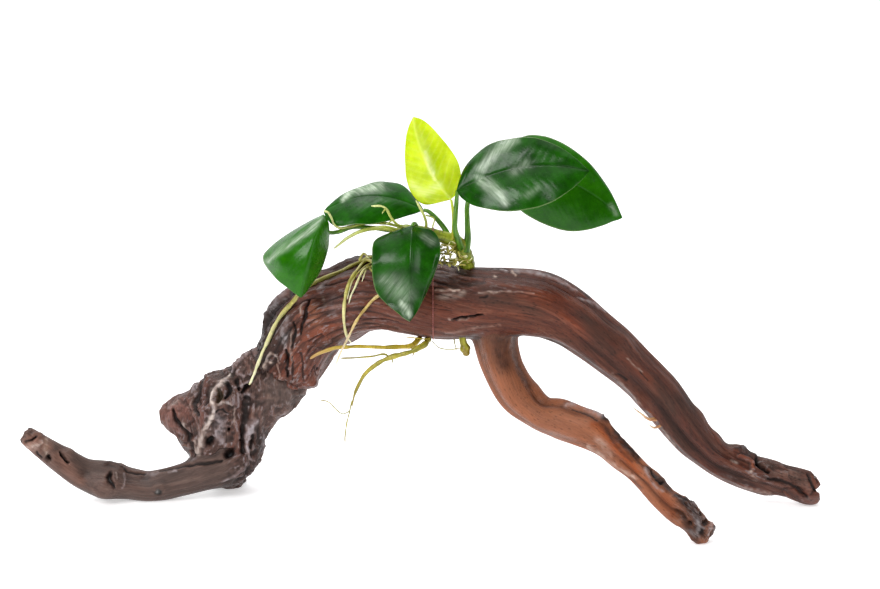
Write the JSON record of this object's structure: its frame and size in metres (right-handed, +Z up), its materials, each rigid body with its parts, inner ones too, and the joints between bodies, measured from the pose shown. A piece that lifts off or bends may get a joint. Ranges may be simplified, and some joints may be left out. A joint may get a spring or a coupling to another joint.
{
  "type": "anubias on driftwood",
  "caption": "Small broad-leaved water plant tied to an arched, branching piece of driftwood, with bare roots running over the wood and hanging from it.",
  "frame": {"origin": "on the ground, under the middle of the whole thing's bounding box", "axes": "+X along the wood to its forked tip, -Y the front, +Z up"},
  "size_m": [0.3288, 0.0838, 0.1601],
  "materials": {
    "dark_wood": "dark reddish, water-stained, with wet shine",
    "grey_wood": "grey-brown, weathered, with paler ridges",
    "taupe_wood": "taupe, weathered, dull",
    "tan_wood": "tan to orange-brown, fine dark specks",
    "leaf": "deep green, glossy, leathery",
    "young_leaf": "bright yellow-green, glossy, slightly see-through",
    "stalk": "green, smooth",
    "rhizome": "yellow-green, smooth, ringed by leaf scars",
    "root": "yellow to olive, smooth, pale at the tips",
    "thread": "reddish twisted thread"
  },
  "bodies": {
    "root": {"driftwood_arch": "dark_wood", "driftwood_burl": "grey_wood", "driftwood_left_arm": "taupe_wood", "driftwood_front_leg": "tan_wood", "leaf_left": "leaf", "leaf_back_left": "leaf", "leaf_front": "leaf", "leaf_right": "leaf", "leaf_back_right": "leaf", "leaf_young": "young_leaf", "stalk_left": "stalk", "stalk_back_left": "stalk", "stalk_front": "stalk", "stalk_young": "stalk", "stalk_right": "stalk", "stalk_back_right": "stalk", "rhizome": "rhizome", "root_over_wood": "root", "root_down_front": "root", "root_fork": "root", "root_crossing": "root", "root_air_low": "root", "root_air_curl": "root", "root_air_up": "root", "root_strand": "root", "root_under_long": "root", "root_hanging": "root", "root_under_thin": "root", "root_nub": "root", "binding_thread": "thread"}
  },
  "joints": []
}
